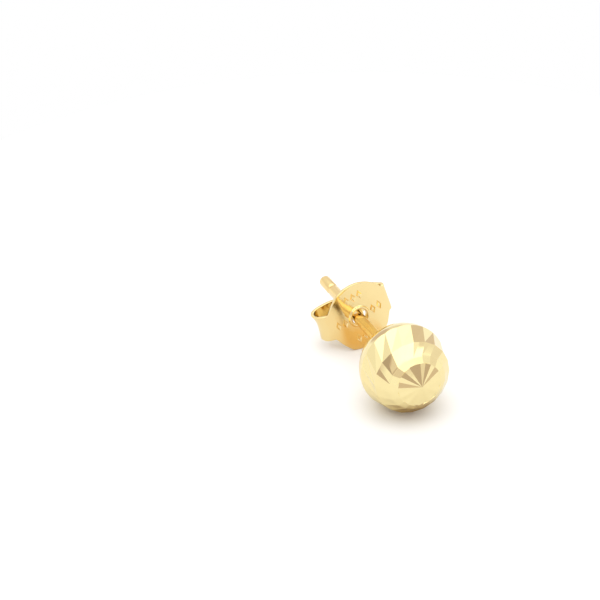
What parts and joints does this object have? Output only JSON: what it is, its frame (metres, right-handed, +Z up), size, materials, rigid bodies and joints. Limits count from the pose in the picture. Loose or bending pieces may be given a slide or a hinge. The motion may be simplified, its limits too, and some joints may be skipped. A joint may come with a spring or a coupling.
{
  "type": "ball stud earring",
  "caption": "Round faceted ball on a straight grooved post, with a scrolled butterfly back that slides along the post.",
  "frame": {"origin": "on the surface that the stud lies on, under the middle of its bounding box", "axes": "+Y runs from the ball towards the post's tip, +Z is up, +X is to the right as seen from the ball's front"},
  "size_m": [0.006, 0.0166, 0.006],
  "materials": {
    "gold": "polished yellow gold, bright cut facets on the ball"
  },
  "bodies": {
    "stud": {"ball_and_post": "gold"},
    "back": {"butterfly_back": "gold"}
  },
  "joints": [
    {"name": "back_slide", "type": "slide", "parent": "stud", "child": "back", "axis": [0, 0.9975, -0.0702], "range_m": [-0.00458, 0.00615]}
  ]
}
